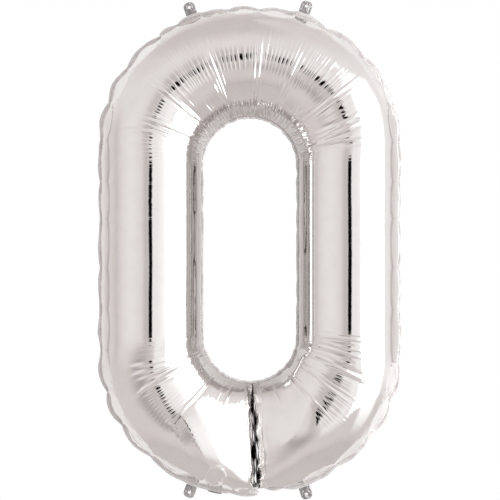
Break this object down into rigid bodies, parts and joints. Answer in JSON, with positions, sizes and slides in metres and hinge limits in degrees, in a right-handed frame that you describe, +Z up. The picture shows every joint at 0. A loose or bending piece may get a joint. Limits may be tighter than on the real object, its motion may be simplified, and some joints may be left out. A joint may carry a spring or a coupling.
{
  "type": "foil number balloon",
  "caption": "Inflated metallised film balloon in the shape of the digit nought, with welded rims, punched hanging tabs and a tucked inflation tail with a self-sealing valve.",
  "frame": {"origin": "middle of the counter, the hole in the nought, in the plane of the welds; it is also the centre of the box round the part", "axes": "+Z up the digit, -Y out of its front face, +X to the reader's right"},
  "size_m": [0.538, 0.1652, 0.8778],
  "materials": {
    "foil": "metallised film, mirror bright",
    "weld": "two metallised films welded flat, slightly puckered",
    "tab": "two metallised films welded flat, fine pressed grain",
    "valve": "clear film"
  },
  "bodies": {
    "balloon": {"front_panel": "foil", "back_panel": "foil", "outer_seam": "weld", "inner_seam": "weld", "closing_seam": "weld", "valve_front_film": "valve", "valve_back_film": "valve"},
    "tail": {"tail_front_film": "foil", "tail_back_film": "foil", "valve_front_inlet": "valve", "valve_back_inlet": "valve"},
    "tab_top_left": {"hang_tab_top_left": "tab"},
    "tab_top_right": {"hang_tab_top_right": "tab"},
    "tab_bottom_left": {"hang_tab_bottom_left": "tab"},
    "tab_bottom_right": {"hang_tab_bottom_right": "tab"}
  },
  "joints": [
    {"name": "tail_fold", "type": "hinge", "parent": "balloon", "child": "tail", "pos_m": [-0.06231, 0, -0.42695], "axis": [-0.978, 0, 0.2084], "range_deg": [0, 95]},
    {"name": "tab_flex_top_left", "type": "hinge", "parent": "balloon", "child": "tab_top_left", "pos_m": [-0.102, 0, 0.41393], "axis": [0.9383, 0, 0.3459], "range_deg": [-90, 90], "stiffness_Nm_per_rad": 0.00004},
    {"name": "tab_flex_top_right", "type": "hinge", "parent": "balloon", "child": "tab_top_right", "pos_m": [0.095, 0, 0.41641], "axis": [0.9469, 0, -0.3216], "range_deg": [-90, 90], "stiffness_Nm_per_rad": 0.00004},
    {"name": "tab_flex_bottom_left", "type": "hinge", "parent": "balloon", "child": "tab_bottom_left", "pos_m": [-0.102, 0, -0.41393], "axis": [-0.9383, 0, 0.3459], "range_deg": [-90, 90], "stiffness_Nm_per_rad": 0.00004},
    {"name": "tab_flex_bottom_right", "type": "hinge", "parent": "balloon", "child": "tab_bottom_right", "pos_m": [0.095, 0, -0.41641], "axis": [-0.9469, 0, -0.3216], "range_deg": [-90, 90], "stiffness_Nm_per_rad": 0.00004}
  ]
}
